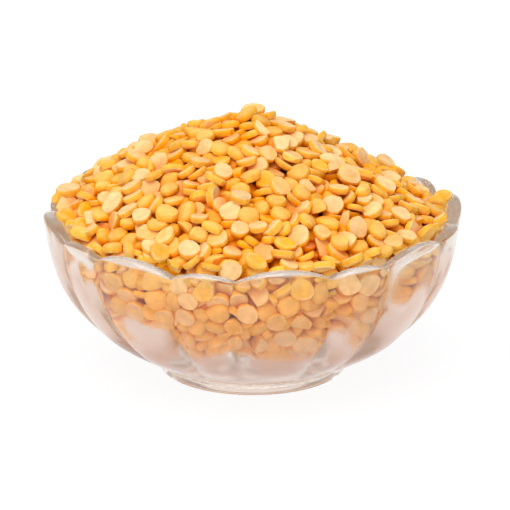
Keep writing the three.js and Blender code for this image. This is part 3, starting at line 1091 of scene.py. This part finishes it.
class LENTILDISH_OT_lentils(bpy.types.Operator):
    """Models the split lentils and settles them over the core"""

    bl_idname = "lentil_dish.lentils"
    bl_label = "Lentils"

    def execute(self, context):
        settings = context.scene.lentil_dish.lentils
        radius, thickness = settings.radius, settings.thickness
        grains, random = settled_grains()
        whole = [model_lentil(radius, thickness * share, *form) for share, *form in WHOLE_LENTILS]
        chipped = [model_lentil(radius, thickness * share, *form) for share, *form in CHIPPED_LENTILS]
        tones = np.clip(random.normal(1, TONE_SPREAD, grains.count), *TONE_RANGE)
        is_chipped = random.random(grains.count) < CHIPPED_SHARE
        below, _, behind, _ = depths(grains.places)
        on_heap = below <= behind
        material = lentil_material()
        groups = {
            "lentils_on_heap": (whole, on_heap & ~is_chipped),
            "lentils_in_bowl": (whole, ~on_heap & ~is_chipped),
            "chipped_lentils": (chipped, is_chipped),
        }
        for name, (shapes, chosen) in groups.items():
            kinds = random.integers(0, len(shapes), chosen.sum())
            for kind, shape in enumerate(shapes):
                self.keep_off_glass(grains, np.nonzero(chosen)[0][kinds == kind], shape[0])
            parts = (grains.places[chosen], grains.rotations[chosen], grains.sizes[chosen], tones[chosen])
            piece = joined(name, shapes, kinds, *parts, thickness)
            deselect()
            bpy.context.view_layer.objects.active = piece
            piece.select_set(True)
            bpy.ops.object.shade_smooth_by_angle(angle=LENTIL_SMOOTHING)
            piece.data.materials.append(material)
            settle_piece(piece, "lentils")
        return {"FINISHED"}

    def keep_off_glass(self, grains, rows, shape):
        """Moves each of the lentils that would cut into the glass back until it is just clear of it."""
        for _ in range(GAP_PASSES):
            points = np.einsum("nij,kj->nki", grains.rotations[rows], shape) * grains.sizes[rows, None, None]
            points += grains.places[rows, None]
            _, _, behind, wall_normal = depths(points)
            worst = behind.argmin(1)
            each = np.arange(len(rows))
            short = np.maximum(GLASS_GAP - behind[each, worst], 0)
            grains.places[rows] -= wall_normal[each, worst] * short[:, None]


class LENTILDISH_OT_stage(bpy.types.Operator):
    """Sets out the pale floor, the soft light and the camera"""

    bl_idname = "lentil_dish.stage"
    bl_label = "Stage"

    def execute(self, context):
        settings = context.scene.lentil_dish.stage
        deselect()
        bpy.ops.mesh.primitive_plane_add(size=FLOOR_SIZE, location=(0, 0, 0))
        floor = bpy.context.object
        floor.name = "floor"
        floor.data.materials.append(floor_material())
        self.light("softbox", SOFTBOX_PLACE, settings.light_power)
        self.light("window", WINDOW_PLACE, settings.fill_power)
        self.surround(settings)
        self.camera(settings)
        scene = context.scene
        scene.view_settings.view_transform = "Standard"
        scene.cycles.use_denoising = True
        scene.cycles.max_bounces = GLASS_BOUNCES
        scene.cycles.transmission_bounces = GLASS_BOUNCES
        scene.cycles.glossy_bounces = GLASS_BOUNCES
        scene.cycles.diffuse_bounces = 6
        scene.cycles.sample_clamp_indirect = 8
        return {"FINISHED"}

    def light(self, name, place, power):
        """A square soft light that looks at the dish."""
        data = bpy.data.lights.new(name, "AREA")
        data.energy = power
        data.size = LIGHT_SIZE
        lamp = add_object(name, data)
        lamp.location = place
        direction = -lamp.location
        lamp.rotation_euler = direction.to_track_quat("-Z", "Y").to_euler()

    def surround(self, settings):
        """White light from all round."""
        world = bpy.data.worlds.new("surround")
        world.use_nodes = True
        background = world.node_tree.nodes["Background"]
        set_inputs(background, {"Color": WHITE, "Strength": settings.sky_strength})
        bpy.context.scene.world = world

    def camera(self, settings):
        """A camera in front of the dish that looks down on it."""
        data = bpy.data.cameras.new("camera")
        data.lens = settings.lens
        data.sensor_width = SENSOR_WIDTH
        camera = add_object("camera", data)
        elevation, distance = settings.camera_elevation, settings.camera_distance
        back, up = distance * math.cos(elevation), distance * math.sin(elevation)
        camera.location = (AIM_ACROSS, -back, AIM_HEIGHT + up)
        camera.rotation_euler = (math.radians(90) - elevation, 0, 0)
        bpy.context.scene.camera = camera


# ---- Panel and registration ---------------------------------------------------------------


class LentilDishSettings(bpy.types.PropertyGroup):
    """Everything that the dish is made from."""

    bowl: bpy.props.PointerProperty(type=BowlSettings)
    lentils: bpy.props.PointerProperty(type=LentilSettings)
    stage: bpy.props.PointerProperty(type=StageSettings)


OPERATORS = (LENTILDISH_OT_stage, LENTILDISH_OT_bowl, LENTILDISH_OT_core, LENTILDISH_OT_lentils)


class LENTILDISH_PT_panel(bpy.types.Panel):
    """Lists the operators and the settings"""

    bl_idname = "LENTILDISH_PT_panel"
    bl_label = "Dish of lentils"
    bl_space_type = "VIEW_3D"
    bl_region_type = "UI"
    bl_category = "Lentils"

    def draw(self, context):
        settings = context.scene.lentil_dish
        for operator in OPERATORS:
            self.layout.operator(operator.bl_idname)
        for group in (settings.bowl, settings.lentils, settings.stage):
            box = self.layout.box()
            for name in group.bl_rna.properties.keys():
                if name not in ("name", "rna_type"):
                    box.prop(group, name)


CLASSES = (BowlSettings, LentilSettings, StageSettings, LentilDishSettings, *OPERATORS, LENTILDISH_PT_panel)


def register():
    for cls in CLASSES:
        bpy.utils.register_class(cls)
    bpy.types.Scene.lentil_dish = bpy.props.PointerProperty(type=LentilDishSettings)


def unregister():
    del bpy.types.Scene.lentil_dish
    for cls in reversed(CLASSES):
        bpy.utils.unregister_class(cls)


def main():
    """Builds the whole dish."""
    register()
    bpy.ops.lentil_dish.stage()
    bpy.ops.lentil_dish.bowl()
    bpy.ops.lentil_dish.core()
    bpy.ops.lentil_dish.lentils()


if __name__ == "__main__":
    main()
